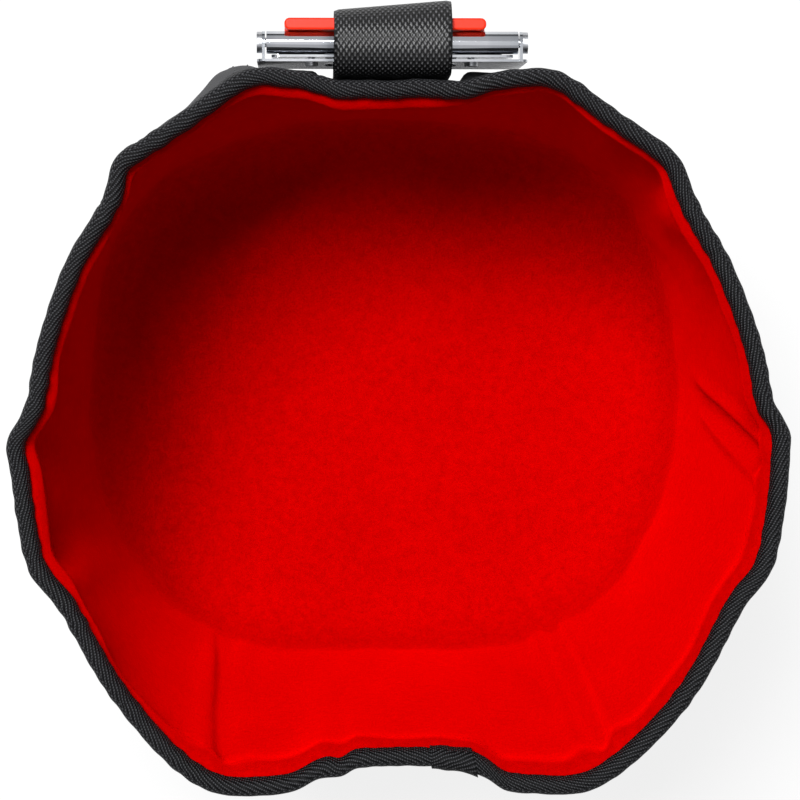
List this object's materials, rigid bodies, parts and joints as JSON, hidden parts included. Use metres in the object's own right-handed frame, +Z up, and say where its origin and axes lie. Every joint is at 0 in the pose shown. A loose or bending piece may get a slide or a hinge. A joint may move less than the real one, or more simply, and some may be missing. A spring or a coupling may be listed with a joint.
{
  "type": "tool bucket organizer",
  "caption": "Soft-sided open-top tool bucket with a red fleece lining, bound wavy rim, outer pouches and a sprung hanging clamp in a webbing loop.",
  "frame": {"origin": "on the floor plane under the bucket, on its axis", "axes": "+Z up, +Y to the back where the hanging clamp is, +X to the right seen from the front"},
  "size_m": [0.3232, 0.3271, 0.2862],
  "materials": {
    "pan_rubber": "moulded, fine texture",
    "panel_plastic": "smooth sheet",
    "rivet_black": "black oxide",
    "foam": "closed-cell foam",
    "lining": "brushed fleece",
    "shell": "ballistic nylon weave",
    "binding": "herringbone tape",
    "webbing": "ribbed nylon webbing",
    "chrome_steel": "bright plated",
    "pin_steel": "zinc plated",
    "spring_steel": "oiled wire",
    "orange_plastic": "satin moulded",
    "bush_nylon": "natural nylon",
    "pad_rubber": "ribbed"
  },
  "bodies": {
    "bag": {"base_pan": "pan_rubber", "base_board": "panel_plastic", "base_rivets": "rivet_black", "floor_foam": "foam", "floor_lining": "lining", "outer_shell": "shell", "wall_foam": "foam", "wall_lining": "lining", "rim_binding": "binding", "binding_lap": "binding", "stiffener_back_right": "panel_plastic", "stiffener_back_left": "panel_plastic", "stiffener_side_right": "panel_plastic", "stiffener_side_left": "panel_plastic", "stiffener_front_right": "panel_plastic", "stiffener_front_left": "panel_plastic", "loop_strap": "webbing", "back_patch": "shell", "loop_rivets": "rivet_black", "pocket_front_right": "shell", "pocket_front": "shell", "pocket_front_left": "shell", "pocket_binding_front_right": "binding", "pocket_binding_front": "binding", "pocket_binding_front_left": "binding"},
    "clamp_fixed": {"fixed_jaw": "chrome_steel", "leaf_plate": "chrome_steel", "pivot_pin": "pin_steel", "torsion_springs": "spring_steel", "fixed_jaw_pad": "pad_rubber", "leaf_rivets": "pin_steel"},
    "clamp_jaw": {"moving_jaw": "chrome_steel", "pivot_bushes": "bush_nylon", "release_pad": "orange_plastic", "pad_rivets": "pin_steel", "moving_jaw_pad": "pad_rubber"}
  },
  "joints": [
    {"name": "hanger_swing", "type": "hinge", "parent": "bag", "child": "clamp_fixed", "pos_m": [-0.0035, 0.1619, 0.272], "axis": [1, 0, 0], "range_deg": [0, 70]},
    {"name": "jaw_open", "type": "hinge", "parent": "clamp_fixed", "child": "clamp_jaw", "pos_m": [-0.0035, 0.1619, 0.272], "axis": [1, 0, 0], "range_deg": [0, 30], "stiffness_Nm_per_rad": 0.6, "springref_deg": -28.65}
  ]
}
